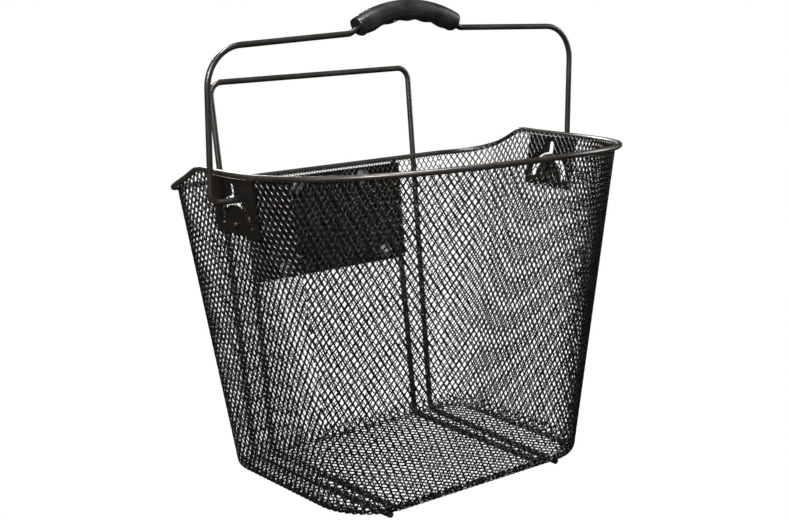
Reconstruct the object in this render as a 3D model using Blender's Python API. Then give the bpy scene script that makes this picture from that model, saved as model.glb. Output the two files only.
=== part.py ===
"""A black steel handlebar basket: a tapered expanded-metal tub hung in a wire rim, a carry handle that
swings in two keyhole plates, and a rear hoop whose legs run down the back and under the floor.

Metres, +Z up, +X to the rider's left when the basket faces away from the bicycle; the front faces -Y.
Blender runs it alone: blender --background --python part.py
"""

import math

import bmesh
import bpy
from mathutils import Matrix, Vector

# ---- Driving dimensions (metres, degrees) ----
# Tub. Plan sizes are of the sheet's middle surface at the floor and of the wire's centre at the rim.
RIM_HALF_WIDTH = 0.172  # the front of the rim is a half circle of this radius
RIM_BACK = 0.1107  # from the handle's axis to the straight back run
RIM_BACK_CORNER = 0.042
RIM_WIRE_RADIUS = 0.00225
RIM_BACK_HEIGHT = 0.239
RIM_SIDE_RISE = 0.026  # the sides stand this much above the back run
RIM_SIDE_RAMP = 0.066  # length over which the rim climbs from the back run to the side
RAMP_POWER = 1.6  # the climb starts softly
RAMP_ROUNDS_AT = 0.9  # share of it where its rounded shoulder begins
RIM_FRONT_RISE = 0.017  # and the front stands this much above the sides
FLOOR_HALF_WIDTH = 0.1315
FLOOR_BACK = 0.0796
FLOOR_FRONT = 0.0998
FLOOR_BACK_CORNER = 0.0288
FLOOR_FRONT_CORNER = 0.0484
FRONT_CORNER_SHARE = 0.92  # of the rim's front quarter that faces the floor's corner
BOTTOM_BEND = 0.007  # radius where the walls turn into the floor
SHEET = 0.0024  # expanded metal, over its raised strands
SHEET_BELOW_RIM = 0.001  # its top edge, under the rim wire's centre
SIDE_PANEL_SWEEP = 20.0  # how far the side panels reach round the front half circle

# Rear hoop, floor runners and stays, all of one wire.
FRAME_WIRE_RADIUS = 0.0025
HOOP_HEIGHT = 0.0797  # above the back run
HOOP_HALF_WIDTH = 0.107
HOOP_FLOOR_HALF_WIDTH = 0.0996
HOOP_END_HALF_WIDTH = 0.0905
HOOP_BEND = 0.011
STAY_HALF_WIDTH = 0.0805
STAY_END_HALF_WIDTH = 0.0785
RUNNER_BEND = 0.008
RUNNER_SETBACK = 0.0085  # the hoop's runners end this far behind the floor's front
STAY_SETBACK = 0.0165  # and the stays' this far
FRAME_EXTRA_LEAN = 0.954  # degrees more than the back wall's own lean

# Carry handle.
HANDLE_WIRE_RADIUS = 0.0024
HANDLE_AXIS_DROP = 0.012  # its axis, below the rim's back run
HANDLE_LEG_CLEARANCE = 0.0165  # of its legs, outside the rim
HANDLE_SHOULDER_HEIGHT = 0.1325  # above its axis
HANDLE_SHOULDER_BEND = 0.030
HANDLE_BAR_SLOPE = 0.0045  # what the bar climbs from its shoulder to the grip
CRANK_THROW = 0.0185  # from the axis to the inward run that rides in the slot
CRANK_BEND = 0.004
LEG_BEND = 0.008  # at the foot of each leg
CRANK_INSIDE = 0.006  # from the plate to the crank inside the basket
PIVOT_STUB = 0.0022  # how far the wire's end shows outside its plate
BAR_BEND = 0.006  # where the bar turns up into the grip
BAR_BEND_OUT = 0.008  # and how far outside the grip that is
ARCH_SHARE = 0.97  # the wire follows the grip's arc over this much of it
GRIP_HALF_LENGTH = 0.0498
GRIP_CROWN = 0.0120  # the grip's centre stands this much above its ends
GRIP_HALF_WIDTH = 0.0085
GRIP_UPPER = 0.0089
GRIP_LOWER = 0.0080
GRIP_RIDGE_PITCH = 0.0196
GRIP_GROOVE = 0.0012
GRIP_SQUARENESS = 0.8  # 1 makes its section elliptical, less makes it squarer
GRIP_LIFT = 0.0036  # of its ends' centres above the bar
GRIP_SCREW_RADIUS = 0.0010
GRIP_SCREW_HEAD_RADIUS = 0.0019
GRIP_SCREW_REACH = 0.0030  # into the upper half
GRIP_SCREW_SIDE = 0.0052
GRIP_SCREW_HEAD = 0.0014
GRIP_SCREW_SEAT = 0.0043  # of its head, below the wire's centre

# Handle plates.
PLATE = 0.002
PLATE_HALF_WIDTH = 0.0275
PLATE_DROP = 0.008  # below the handle's axis
SLOT_CLEARANCE = 0.002  # the slot is this much wider than the wire
SLOT_SWEEP = 184.0
NOTCH_CLEARANCE = 0.0006  # on each side of the wire
NOTCH_RISE = 0.0135  # above the middle of the slot
WINDOW_CLEARANCE = 0.005  # round the crank, of the half-round opening in the sheet
WINDOW_DROP = 0.0021  # of that opening, below the wire's end
WINDOW_MARGIN = 0.002  # and this much round the notch

# Bracket on the back.
BRACKET = 0.002
BRACKET_TALL = 0.0865
BRACKET_BELOW_RIM = 0.003
PAD_RADIUS = 0.027
PAD_RAISE = 0.0014
BOLT_RADIUS = 0.0025
BOLT_HEAD_RADIUS = 0.0046
BOLT_HEAD = 0.0027
BOLT_UPPER_HALF_SPACING = 0.036
BOLT_LOWER_HALF_SPACING = 0.055
BOLT_EDGE = 0.0085  # from the bracket's top and bottom edges
WASHER_RADIUS = 0.0065
WASHER = 0.0011
NUT_ACROSS = 0.008
NUT = 0.004
BOLT_END = 0.0015  # of thread past the nut

# Clearances.
TOUCH = 0.0003  # between pieces that are welded, clamped or seated together
THREAD_GAP = 0.0001
BOLT_GAP = 0.0004
PIVOT_GAP = 0.0002
CUT_MARGIN = 0.02  # how far cutters run past what they cut
WELD = 1e-6

# Faceting.
CORNER_STEPS = 7
SIDE_STEPS = 6
FRONT_STEPS = 14
RIM_FRONT_STEPS = 18
SWEEP_STEPS = 3
FLOOR_CORNER_STEPS = 10
BOTTOM_TURNS = (0, 30, 60, 90)
ARCH_STEPS = 16
GRIP_STEPS = 24
RIDGE_STEPS = 56
GRIP_ROUND_STEPS = 10
CHANNEL_STEPS = 6
BEND_STEPS = 6
ROUND_STEPS = 24
SCREW_STEPS = 14

# ---- Derived places ----
HANDLE_AXIS_HEIGHT = RIM_BACK_HEIGHT - HANDLE_AXIS_DROP
HANDLE_LEG_HALF_WIDTH = RIM_HALF_WIDTH + HANDLE_LEG_CLEARANCE
SLOT_WIDTH = 2 * HANDLE_WIRE_RADIUS + SLOT_CLEARANCE
NOTCH_HALF_WIDTH = HANDLE_WIRE_RADIUS + NOTCH_CLEARANCE
NOTCH_TOP = CRANK_THROW + NOTCH_RISE
WINDOW_RADIUS = CRANK_THROW + WINDOW_CLEARANCE
FLOOR_Z = 2 * FRAME_WIRE_RADIUS + TOUCH + SHEET / 2
SHEET_INSET = RIM_WIRE_RADIUS + TOUCH + SHEET / 2
WALL_LEAN = math.atan(
    (RIM_BACK - SHEET_INSET - FLOOR_BACK) / (RIM_BACK_HEIGHT - SHEET_BELOW_RIM - FLOOR_Z - BOTTOM_BEND)
)
FRAME_LEAN = WALL_LEAN + math.radians(FRAME_EXTRA_LEAN)
HOOP_OFFSET = RIM_BACK + RIM_WIRE_RADIUS + FRAME_WIRE_RADIUS + TOUCH
HOOP_TOP_OFFSET = HOOP_OFFSET + HOOP_HEIGHT * math.tan(FRAME_LEAN)
FRONT_REACH = RIM_HALF_WIDTH + RIM_WIRE_RADIUS
BACK_REACH = HOOP_TOP_OFFSET + FRAME_WIRE_RADIUS
# The handle's axis, placed so that the whole object is centred front to back.
AXIS_Y = (FRONT_REACH - BACK_REACH) / 2
RUNNER_Z = FRAME_WIRE_RADIUS
SIDE_HEIGHT = RIM_BACK_HEIGHT + RIM_SIDE_RISE
SIDE_LEAN = math.atan(
    (RIM_HALF_WIDTH - SHEET_INSET - FLOOR_HALF_WIDTH)
    / (SIDE_HEIGHT - SHEET_BELOW_RIM - FLOOR_Z - BOTTOM_BEND)
)
ROUND_START = RAMP_ROUNDS_AT**RAMP_POWER
ROUND_SLOPE = RAMP_POWER * RAMP_ROUNDS_AT ** (RAMP_POWER - 1)
RAMP_END = RAMP_ROUNDS_AT + 2 * (1 - ROUND_START) / ROUND_SLOPE
PEAK_Y = RIM_BACK - RIM_SIDE_RAMP * RAMP_END
GRIP_ARC_RADIUS = (GRIP_HALF_LENGTH**2 + GRIP_CROWN**2) / (2 * GRIP_CROWN)
GRIP_ARC_ANGLE = math.asin(GRIP_HALF_LENGTH / GRIP_ARC_RADIUS)
BAR_HEIGHT = HANDLE_AXIS_HEIGHT + HANDLE_SHOULDER_HEIGHT + HANDLE_BAR_SLOPE
GRIP_END_HEIGHT = BAR_HEIGHT + GRIP_LIFT


def clear_scene():
    for thing in list(bpy.data.objects):
        bpy.data.objects.remove(thing, do_unlink=True)


clear_scene()
BASKET = bpy.data.collections.new("handlebar_basket")
CUTTERS = bpy.data.collections.new("cutters")
for collection in (BASKET, CUTTERS):
    bpy.context.scene.collection.children.link(collection)
CUTTERS.hide_render = True


# ---- Materials ----
def principled(name, colour, roughness, metallic):
    material = bpy.data.materials.new(name)
    material.use_nodes = True
    shader = material.node_tree.nodes["Principled BSDF"]
    shader.inputs["Base Color"].default_value = (*colour, 1)
    shader.inputs["Roughness"].default_value = roughness
    shader.inputs["Metallic"].default_value = metallic
    return material


COATED_WIRE = principled("black_coated_wire", (0.013, 0.012, 0.011), 0.32, 0.0)
COATED_MESH = principled("black_coated_mesh", (0.017, 0.016, 0.015), 0.42, 0.0)
COATED_PLATE = principled("black_coated_plate", (0.015, 0.014, 0.013), 0.38, 0.0)
GRIP_PLASTIC = principled("black_grip_plastic", (0.022, 0.020, 0.019), 0.45, 0.0)
ZINC = principled("zinc_plated_steel", (0.62, 0.63, 0.64), 0.3, 1.0)


# ---- Building blocks ----
def mesh_object(name, points, faces, material=None, collection=None):
    """One mesh from its points and faces, with its normals turned outwards."""
    mesh = bpy.data.meshes.new(name)
    mesh.from_pydata(points, [], faces)
    work = bmesh.new()
    work.from_mesh(mesh)
    bmesh.ops.recalc_face_normals(work, faces=work.faces)
    work.to_mesh(mesh)
    work.free()
    thing = bpy.data.objects.new(name, mesh)
    if material:
        mesh.materials.append(material)
    (collection or BASKET).objects.link(thing)
    return thing


def flat(name, outline, thickness, material=None, collection=None):
    """A flat piece about its own x-y plane: its outline as a filled curve, thickened both ways."""
    curve = bpy.data.curves.new(name, "CURVE")
    curve.dimensions = "2D"
    curve.fill_mode = "BOTH"
    curve.extrude = thickness / 2
    spline = curve.splines.new("POLY")
    spline.points.add(len(outline) - 1)
    for target, (x, y) in zip(spline.points, outline):
        target.co = (x, y, 0, 1)
    spline.use_cyclic_u = True
    drawn = bpy.data.objects.new(name + "_outline", curve)
    BASKET.objects.link(drawn)
    graph = bpy.context.evaluated_depsgraph_get()
    mesh = bpy.data.meshes.new_from_object(drawn.evaluated_get(graph))
    bpy.data.objects.remove(drawn)
    # The curve's caps come loose from its sides, so they are welded here.
    work = bmesh.new()
    work.from_mesh(mesh)
    bmesh.ops.remove_doubles(work, verts=work.verts, dist=WELD)
    bmesh.ops.recalc_face_normals(work, faces=work.faces)
    work.to_mesh(mesh)
    work.free()
    thing = bpy.data.objects.new(name, mesh)
    if material:
        mesh.materials.append(material)
    (collection or BASKET).objects.link(thing)
    return thing


def stand(thing, place, lean=0.0):
    """Stands a flat piece along a side wall: its x runs to the back, its y up and, with a lean, outwards."""
    back = Vector((0, 1, 0))
    up = Vector((math.sin(lean), 0, math.cos(lean)))
    turn = Matrix((back, up, back.cross(up))).transposed()
    thing.location = place
    thing.rotation_euler = turn.to_euler()


def loft(name, sections, material=None, collection=None):
    """A closed solid through equal rings of points, capped at both ends."""
    size = len(sections[0])
    points = [point for section in sections for point in section]
    faces = []
    for row in range(len(sections) - 1):
        for i in range(size):
            j = (i + 1) % size
            faces.append((row * size + i, row * size + j, (row + 1) * size + j, (row + 1) * size + i))
    faces.append(tuple(range(size)))
    faces.append(tuple(range(len(points) - size, len(points))))
    return mesh_object(name, points, faces, material, collection)


def cylinder(name, centre, along, radius, low, high, steps, material=None, collection=None):
    """A closed cylinder from low to high along a direction through its centre line."""
    along = Vector(along).normalized()
    mesh = bpy.data.meshes.new(name)
    work = bmesh.new()
    bmesh.ops.create_cone(
        work, cap_ends=True, segments=steps, radius1=radius, radius2=radius, depth=high - low
    )
    work.to_mesh(mesh)
    work.free()
    thing = bpy.data.objects.new(name, mesh)
    thing.location = Vector(centre) + along * (low + high) / 2
    thing.rotation_euler = along.to_track_quat("Z", "Y").to_euler()
    if material:
        mesh.materials.append(material)
    (collection or BASKET).objects.link(thing)
    return thing


def hide_cutter(cutter):
    cutter.hide_render = True
    cutter.display_type = "WIRE"


def boolean(target, other, operation):
    modifier = target.modifiers.new(operation.lower(), "BOOLEAN")
    modifier.operation = operation
    modifier.solver = "EXACT"
    modifier.object = other
    hide_cutter(other)


def rounded_path(corners):
    """The points of a bent wire: each corner is (point, bend radius), and a radius of 0 keeps the point."""
    points = []
    for i, (corner, radius) in enumerate(corners):
        if radius == 0:
            points.append(Vector(corner))
            continue
        corner = Vector(corner)
        back = (Vector(corners[i - 1][0]) - corner).normalized()
        ahead = (Vector(corners[i + 1][0]) - corner).normalized()
        half = back.angle(ahead) / 2
        middle = corner + (back + ahead).normalized() * radius / math.sin(half)
        start = corner + back * radius / math.tan(half) - middle
        end = corner + ahead * radius / math.tan(half) - middle
        sweep = start.angle(end)
        for k in range(BEND_STEPS + 1):
            share = k / BEND_STEPS
            turned = (math.sin((1 - share) * sweep) * start + math.sin(share * sweep) * end)
            points.append(middle + turned / math.sin(sweep))
    return points


def wire(name, points, radius, closed=False, resolution=2):
    """A round wire along a line of points."""
    curve = bpy.data.curves.new(name, "CURVE")
    curve.dimensions = "3D"
    curve.bevel_depth = radius
    curve.bevel_resolution = resolution
    curve.use_fill_caps = not closed
    spline = curve.splines.new("POLY")
    spline.points.add(len(points) - 1)
    for target, point in zip(spline.points, points):
        target.co = (*point, 1)
    spline.use_cyclic_u = closed
    curve.materials.append(COATED_WIRE)
    thing = bpy.data.objects.new(name, curve)
    BASKET.objects.link(thing)
    return thing


def shares(start, end, steps):
    return [start + (end - start) * i / steps for i in range(steps + 1)]


def arc(radius, start, end, steps):
    """Points (x, y) on an arc about the origin, between two angles in degrees."""
    turns = [math.radians(turn) for turn in shares(start, end, steps)]
    return [(radius * math.cos(turn), radius * math.sin(turn)) for turn in turns]


def mirrored(points, side):
    return [(side * x, y, z) for x, y, z in points]


# ---- The tub's shape ----
def ramp_rise(share):
    """The rim's climb from 0 to 1: it starts softly and ends in a short rounded shoulder."""
    share = min(max(share, 0), RAMP_END)
    if share < RAMP_ROUNDS_AT:
        return share**RAMP_POWER
    past = share - RAMP_ROUNDS_AT
    return ROUND_START + ROUND_SLOPE * (past - past**2 / (2 * (RAMP_END - RAMP_ROUNDS_AT)))


def rim_height(y):
    """Height of the rim's centre at a distance y behind the handle's axis."""
    if y > PEAK_Y:
        return RIM_BACK_HEIGHT + RIM_SIDE_RISE * ramp_rise((RIM_BACK - y) / RIM_SIDE_RAMP)
    return SIDE_HEIGHT + RIM_FRONT_RISE * ((PEAK_Y - y) / (PEAK_Y + RIM_HALF_WIDTH)) ** 2


def rim_plan(stretch, share):
    """(x, y) and outward normal on the rim's right half; y is counted from the handle's axis."""
    if stretch == "back":
        return (share * (RIM_HALF_WIDTH - RIM_BACK_CORNER), RIM_BACK), (0, 1)
    if stretch == "back_corner":
        turn = math.radians(90 * (1 - share))
        normal = (math.cos(turn), math.sin(turn))
        x = RIM_HALF_WIDTH - RIM_BACK_CORNER * (1 - normal[0])
        return (x, RIM_BACK - RIM_BACK_CORNER * (1 - normal[1])), normal
    if stretch == "side":
        return (RIM_HALF_WIDTH, (RIM_BACK - RIM_BACK_CORNER) * (1 - share)), (1, 0)
    turn = math.radians(90 * share)
    normal = (math.cos(turn), -math.sin(turn))
    return (RIM_HALF_WIDTH * normal[0], RIM_HALF_WIDTH * normal[1]), normal


def floor_plan(stretch, share):
    """The same on the floor's outline, whose corners face the rim's round stretches."""
    if stretch == "back":
        return (share * (FLOOR_HALF_WIDTH - FLOOR_BACK_CORNER), FLOOR_BACK), (0, 1)
    if stretch == "back_corner":
        turn = math.radians(90 * (1 - share))
        normal = (math.cos(turn), math.sin(turn))
        x = FLOOR_HALF_WIDTH - FLOOR_BACK_CORNER * (1 - normal[0])
        return (x, FLOOR_BACK - FLOOR_BACK_CORNER * (1 - normal[1])), normal
    if stretch == "side":
        back_end = FLOOR_BACK - FLOOR_BACK_CORNER
        front_end = FLOOR_FRONT_CORNER - FLOOR_FRONT
        return (FLOOR_HALF_WIDTH, back_end + share * (front_end - back_end)), (1, 0)
    if share < FRONT_CORNER_SHARE:
        turn = math.radians(90 * share / FRONT_CORNER_SHARE)
        normal = (math.cos(turn), -math.sin(turn))
        x = FLOOR_HALF_WIDTH - FLOOR_FRONT_CORNER * (1 - normal[0])
        return (x, -FLOOR_FRONT + FLOOR_FRONT_CORNER * (1 + normal[1])), normal
    straight = (1 - share) / (1 - FRONT_CORNER_SHARE)
    return (straight * (FLOOR_HALF_WIDTH - FLOOR_FRONT_CORNER), -FLOOR_FRONT), (0, -1)


def wall_column(stretch, share, nudge=0.0):
    """The sheet's cross-section on one upright line of the wall: outer points up, then inner points down."""
    (top_x, top_y), top_out = rim_plan(stretch, share)
    (low_x, low_y), low_out = floor_plan(stretch, share)
    top_height = rim_height(top_y) - SHEET_BELOW_RIM

    def surface(offset):
        points = []
        bend = BOTTOM_BEND + offset
        for turn in BOTTOM_TURNS:
            inward = BOTTOM_BEND - bend * math.sin(math.radians(turn))
            height = FLOOR_Z + BOTTOM_BEND - bend * math.cos(math.radians(turn))
            points.append((low_x - low_out[0] * inward, low_y - low_out[1] * inward, height))
        inset = SHEET_INSET - offset
        points.append((top_x - top_out[0] * inset, top_y - top_out[1] * inset, top_height))
        return points

    column = surface(SHEET / 2) + surface(-SHEET / 2)[::-1]
    # The tangent leads from the back towards the front.
    bend = [low_out] * len(BOTTOM_TURNS)
    tangents = bend + [top_out] * 2 + bend
    return [
        (x + out[1] * nudge, y - out[0] * nudge + AXIS_Y, z) for (x, y, z), out in zip(column, tangents)
    ]


def panel(name, side, stations):
    """One panel of the wall through its stations, drawn back from its neighbours at both ends."""
    columns = []
    for i, (stretch, share) in enumerate(stations):
        nudge = TOUCH / 2 if i == 0 else -TOUCH / 2 if i == len(stations) - 1 else 0
        columns.append(mirrored(wall_column(stretch, share, nudge), side))
    return loft(name, columns, COATED_MESH)


def rim_points(side):
    """The rim's centre line on one side, from the middle of the back to the middle of the front."""
    stations = [("back", share) for share in shares(0, 1, 2)]
    stations += [("back_corner", share) for share in shares(0, 1, CORNER_STEPS)[1:]]
    stations += [("side", share) for share in shares(0, 1, SIDE_STEPS)[1:]]
    stations += [("front", share) for share in shares(0, 1, RIM_FRONT_STEPS)[1:]]
    points = []
    for station in stations:
        (x, y), _ = rim_plan(*station)
        points.append((side * x, y + AXIS_Y, rim_height(y)))
    return points


# ---- Tub and rim ----
def build_rim():
    right = rim_points(1)
    left = rim_points(-1)
    wire("rim_wire", right + left[-2:0:-1], RIM_WIRE_RADIUS, closed=True, resolution=3)


def build_back_panel():
    half = [("back", share) for share in shares(1, 0, 2)]
    left = [mirrored(wall_column(*station), -1) for station in half]
    right = [wall_column(*station) for station in reversed(half)]
    left[0] = mirrored(wall_column("back", 1, -TOUCH / 2), -1)
    right[-1] = wall_column("back", 1, -TOUCH / 2)
    return loft("back_mesh", left + right[1:], COATED_MESH)


def side_stations():
    stations = [("back_corner", share) for share in shares(0, 1, CORNER_STEPS)]
    stations += [("side", share) for share in shares(0, 1, SIDE_STEPS)[1:]]
    stations += [("front", share) for share in shares(0, SIDE_PANEL_SWEEP / 90, SWEEP_STEPS)[1:]]
    return stations


def build_side_panel(side, name):
    """A side wall, with a half-round window behind the plate, where the handle's crank swings."""
    wall = panel(name, side, side_stations())
    near = FLOOR_HALF_WIDTH
    far = RIM_HALF_WIDTH + CUT_MARGIN
    place = (side * (near + far) / 2, AXIS_Y, HANDLE_AXIS_HEIGHT)
    low = -HANDLE_WIRE_RADIUS - WINDOW_DROP
    outline = [(-WINDOW_RADIUS, low), (WINDOW_RADIUS, low)]
    outline += arc(WINDOW_RADIUS, 0, 180, ROUND_STEPS)
    window = flat(name + "_window", outline, far - near, None, CUTTERS)
    stand(window, place)
    boolean(wall, window, "DIFFERENCE")
    half = NOTCH_HALF_WIDTH + WINDOW_MARGIN
    top = NOTCH_TOP + WINDOW_MARGIN
    outline = [(-half, 0), (half, 0), (half, top), (-half, top)]
    notch = flat(name + "_notch_window", outline, far - near + CUT_MARGIN, None, CUTTERS)
    stand(notch, place)
    boolean(wall, notch, "DIFFERENCE")


def build_front_panel(side, name):
    start = SIDE_PANEL_SWEEP / 90
    panel(name, side, [("front", share) for share in shares(start, 1, FRONT_STEPS)])


def build_floor():
    """The floor, up to where the walls' bend begins."""
    stations = [("back", 0)]
    stations += [("back_corner", share) for share in shares(0, 1, CORNER_STEPS)]
    stations += [("front", share) for share in shares(0, FRONT_CORNER_SHARE, FLOOR_CORNER_STEPS)]
    stations.append(("front", 1))
    inset = BOTTOM_BEND + TOUCH
    half = []
    for station in stations:
        (x, y), out = floor_plan(*station)
        half.append((x - out[0] * inset, y - out[1] * inset + AXIS_Y))
    outline = half + [(-x, y) for x, y in half[-2:0:-1]]
    floor = flat("floor_mesh", outline, SHEET, COATED_MESH)
    floor.location = (0, 0, FLOOR_Z)


# ---- Wire frame ----
def frame_y(height):
    """Where the leaning frame wires' centres stand at a height."""
    return AXIS_Y + HOOP_OFFSET + (height - RIM_BACK_HEIGHT) * math.tan(FRAME_LEAN)


def build_hoop():
    top = RIM_BACK_HEIGHT + HOOP_HEIGHT
    front = AXIS_Y - FLOOR_FRONT + RUNNER_SETBACK
    half = [
        ((HOOP_END_HALF_WIDTH, front, RUNNER_Z), 0),
        ((HOOP_FLOOR_HALF_WIDTH, frame_y(RUNNER_Z), RUNNER_Z), RUNNER_BEND),
        ((HOOP_HALF_WIDTH, frame_y(top), top), HOOP_BEND),
    ]
    other = [((-x, y, z), radius) for (x, y, z), radius in reversed(half)]
    wire("support_hoop", rounded_path(half + other), FRAME_WIRE_RADIUS)


def build_stay(side, name):
    """An inner stay, from just under the rim down the back and forward under the floor."""
    top = RIM_BACK_HEIGHT - RIM_WIRE_RADIUS - TOUCH
    front = AXIS_Y - FLOOR_FRONT + STAY_SETBACK
    corners = [
        ((side * STAY_END_HALF_WIDTH, front, RUNNER_Z), 0),
        ((side * STAY_HALF_WIDTH, frame_y(RUNNER_Z), RUNNER_Z), RUNNER_BEND),
        ((side * STAY_HALF_WIDTH, frame_y(top), top), 0),
    ]
    wire(name, rounded_path(corners), FRAME_WIRE_RADIUS)


# ---- Handle plates ----
def plate_x(height):
    """The middle of a plate, which lies on the outside of the side wall's sheet."""
    wall = FLOOR_HALF_WIDTH + (height - FLOOR_Z - BOTTOM_BEND) * math.tan(SIDE_LEAN)
    return wall + SHEET / 2 + TOUCH + PLATE / 2


def build_handle_plate(side, name):
    """A leaning plate with the handle's pivot hole, the half-round slot about it and the entry notch."""
    axis = HANDLE_AXIS_HEIGHT
    upright = math.cos(SIDE_LEAN)
    outline = [(-PLATE_HALF_WIDTH, -PLATE_DROP / upright), (PLATE_HALF_WIDTH, -PLATE_DROP / upright)]
    for across in (PLATE_HALF_WIDTH, 0, -PLATE_HALF_WIDTH):
        top = rim_height(across) - RIM_WIRE_RADIUS - TOUCH
        outline.append((across, (top - axis) / upright))
    plate = flat(name, outline, PLATE, COATED_PLATE)
    stand(plate, (side * plate_x(axis), AXIS_Y, axis), side * SIDE_LEAN)

    near = FLOOR_HALF_WIDTH
    far = RIM_HALF_WIDTH + CUT_MARGIN
    place = (side * (near + far) / 2, AXIS_Y, axis)
    ends = (180 - SLOT_SWEEP) / 2
    outline = arc(CRANK_THROW + SLOT_WIDTH / 2, ends, 180 - ends, ROUND_STEPS)
    outline += arc(CRANK_THROW - SLOT_WIDTH / 2, 180 - ends, ends, ROUND_STEPS)
    slot = flat(name + "_slot", outline, far - near, None, CUTTERS)
    stand(slot, place)
    boolean(plate, slot, "DIFFERENCE")

    outline = [(-NOTCH_HALF_WIDTH, CRANK_THROW), (NOTCH_HALF_WIDTH, CRANK_THROW)]
    crown = NOTCH_TOP - NOTCH_HALF_WIDTH
    outline += [(across, crown + up) for across, up in arc(NOTCH_HALF_WIDTH, 0, 180, SCREW_STEPS)]
    notch = flat(name + "_notch", outline, far - near + CUT_MARGIN, None, CUTTERS)
    stand(notch, place)
    boolean(plate, notch, "DIFFERENCE")

    bore = HANDLE_WIRE_RADIUS + PIVOT_GAP
    half = (far - near) / 2
    hole = cylinder(name + "_hole", place, (side, 0, 0), bore, -half, half, ROUND_STEPS, None, CUTTERS)
    boolean(plate, hole, "DIFFERENCE")


# ---- Carry handle ----
def grip_point(angle, across, radial):
    """A point in the grip: angle along its arc, across it, and radially from the wire's centre."""
    radius = GRIP_ARC_RADIUS + radial
    centre = GRIP_END_HEIGHT + GRIP_CROWN - GRIP_ARC_RADIUS
    return (radius * math.sin(angle), AXIS_Y + across, centre + radius * math.cos(angle))


def build_bail():
    """The handle's wire: pivot ends, cranks through the slots, legs, shoulders and the arch in the grip."""
    axis = HANDLE_AXIS_HEIGHT
    inside = plate_x(axis) - PLATE / 2 - CRANK_INSIDE
    shoulder = axis + HANDLE_SHOULDER_HEIGHT
    half = [
        ((plate_x(axis) + PLATE / 2 + PIVOT_STUB, AXIS_Y, axis), 0),
        ((inside, AXIS_Y, axis), CRANK_BEND),
        ((inside, AXIS_Y, axis + CRANK_THROW), CRANK_BEND),
        ((HANDLE_LEG_HALF_WIDTH, AXIS_Y, axis + CRANK_THROW), LEG_BEND),
        ((HANDLE_LEG_HALF_WIDTH, AXIS_Y, shoulder), HANDLE_SHOULDER_BEND),
        ((GRIP_HALF_LENGTH + BAR_BEND_OUT, AXIS_Y, BAR_HEIGHT), BAR_BEND),
    ]
    turns = shares(GRIP_ARC_ANGLE * ARCH_SHARE, -GRIP_ARC_ANGLE * ARCH_SHARE, ARCH_STEPS)
    arch = [(grip_point(turn, 0, 0), 0) for turn in turns]
    other = [((-x, y, z), radius) for (x, y, z), radius in reversed(half)]
    return [wire("handle_bail", rounded_path(half + arch + other), HANDLE_WIRE_RADIUS)]


def grip_half(name, direction, depth, groove):
    """Half of the grip, above (+1) or below (-1) the wire, with a half-round channel for it."""
    channel = HANDLE_WIRE_RADIUS + TOUCH
    joint = direction * TOUCH / 2
    sections = []
    for share in shares(-1, 1, RIDGE_STEPS if groove else GRIP_STEPS):
        angle = GRIP_ARC_ANGLE * share
        along = GRIP_ARC_RADIUS * angle
        height = depth - groove * math.sin(math.pi * along / GRIP_RIDGE_PITCH) ** 2
        ring = []
        for across, up in arc(1, 0, 180, GRIP_ROUND_STEPS):
            bulge = max(up, 0) ** GRIP_SQUARENESS
            ring.append((GRIP_HALF_WIDTH * across, joint + direction * height * bulge))
        for across, up in arc(channel, 180, 0, CHANNEL_STEPS):
            ring.append((across, joint + direction * up))
        sections.append([grip_point(angle, across, radial) for across, radial in ring])
    return loft(name, sections, GRIP_PLASTIC)


def build_grip():
    upper = grip_half("grip_upper", 1, GRIP_UPPER, 0.0)
    lower = grip_half("grip_lower", -1, GRIP_LOWER, GRIP_GROOVE)
    seat = GRIP_SCREW_SEAT
    pieces = [upper, lower]
    for side, name in ((-1, "left"), (1, "right")):
        # Each screw stands beside the wire, under a ridge between two fingers.
        angle = side * GRIP_RIDGE_PITCH / GRIP_ARC_RADIUS
        centre = grip_point(angle, side * GRIP_SCREW_SIDE, 0)
        up = (math.sin(angle), 0, math.cos(angle))

        def rod(label, radius, low, high, material=None, collection=None):
            return cylinder(label, centre, up, radius, low, high, SCREW_STEPS, material, collection)

        screw = rod(f"grip_screw_{name}", GRIP_SCREW_RADIUS, -seat - GRIP_SCREW_HEAD / 2,
                    GRIP_SCREW_REACH, ZINC)
        head = rod(f"screw_head_{name}", GRIP_SCREW_HEAD_RADIUS, -seat - GRIP_SCREW_HEAD, -seat,
                   None, CUTTERS)
        boolean(screw, head, "UNION")
        wide = GRIP_SCREW_RADIUS + THREAD_GAP
        blind = rod(f"screw_bore_{name}", wide, -CUT_MARGIN, GRIP_SCREW_REACH + TOUCH, None, CUTTERS)
        boolean(upper, blind, "DIFFERENCE")
        boolean(lower, blind, "DIFFERENCE")
        wide = GRIP_SCREW_HEAD_RADIUS + TOUCH
        recess = rod(f"screw_recess_{name}", wide, -CUT_MARGIN, -seat + TOUCH, None, CUTTERS)
        boolean(lower, recess, "DIFFERENCE")
        pieces += [screw, head, blind, recess]
    return pieces


def hang_on_axis(pieces):
    """What swings hangs from an empty on the handle's axis."""
    pivot = bpy.data.objects.new("handle_axis", None)
    pivot.location = (0, AXIS_Y, HANDLE_AXIS_HEIGHT)
    BASKET.objects.link(pivot)
    for piece in pieces:
        piece.parent = pivot
        piece.matrix_parent_inverse = Matrix.Translation(-pivot.location)


# ---- Bracket and its fasteners ----
BRACKET_TOP = RIM_BACK_HEIGHT - BRACKET_BELOW_RIM
BRACKET_HALF = BRACKET_TALL / 2
BRACKET_MIDDLE = BRACKET_TOP - BRACKET_HALF


def back_wall_y(height):
    return AXIS_Y + FLOOR_BACK + (height - FLOOR_Z - BOTTOM_BEND) * math.tan(WALL_LEAN)


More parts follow.
